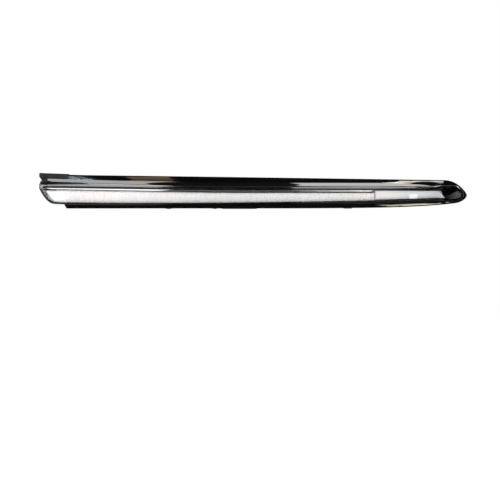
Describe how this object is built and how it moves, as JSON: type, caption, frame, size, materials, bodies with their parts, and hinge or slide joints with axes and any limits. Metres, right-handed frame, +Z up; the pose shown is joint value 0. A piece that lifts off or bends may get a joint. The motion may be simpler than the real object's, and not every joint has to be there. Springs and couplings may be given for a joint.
{
  "type": "daytime running light",
  "caption": "Slim daytime running light: gloss black leaf-shaped surround, chrome strip, sealed lamp with fluted light bar.",
  "frame": {"origin": "middle fixing point, on the plane of the three fixing bosses", "axes": "+X from the blunt inner end to the pointed outer tip, +Y to the rear along the fixing bosses, +Z up"},
  "size_m": [0.43, 0.0635, 0.0364],
  "materials": {
    "gloss_black": "gloss",
    "matt_black": "matte",
    "chrome": "gloss",
    "clear": "gloss",
    "opal_white": "satin",
    "white_plastic": "satin",
    "black_plastic": "satin",
    "board_white": "satin",
    "board_green": "satin",
    "led_yellow": "satin",
    "steel": "satin",
    "brass": "satin",
    "aluminium": "satin",
    "rubber": "matte",
    "seal_red": "matte",
    "component": "matte"
  },
  "bodies": {
    "root": {"surround": "gloss_black", "end_cap": "matt_black", "chrome_strip": "chrome", "strip_tape": "rubber", "outer_lens": "clear", "lens_seal": "rubber", "bezel": "chrome", "light_bar": "opal_white", "tip_optic": "opal_white", "tip_mask": "gloss_black", "reflector": "white_plastic", "leds": "led_yellow", "led_board_1": "board_white", "led_board_2": "board_white", "led_board_3": "board_white", "led_board_4": "board_white", "board_links": "brass", "board_screws": "steel", "heat_spreader": "aluminium", "housing": "black_plastic", "mount_inserts": "brass", "vent_cap": "black_plastic", "vent_membrane": "white_plastic", "driver_board": "board_green", "driver_screws": "steel", "driver_coil": "component", "driver_capacitors": "aluminium", "driver_chips": "component", "feed_pins": "brass", "cover_seal": "rubber", "rear_cover": "aluminium", "cover_screws": "steel", "connector_shell": "black_plastic", "connector_blades": "brass", "connector_seal": "seal_red"}
  },
  "joints": []
}
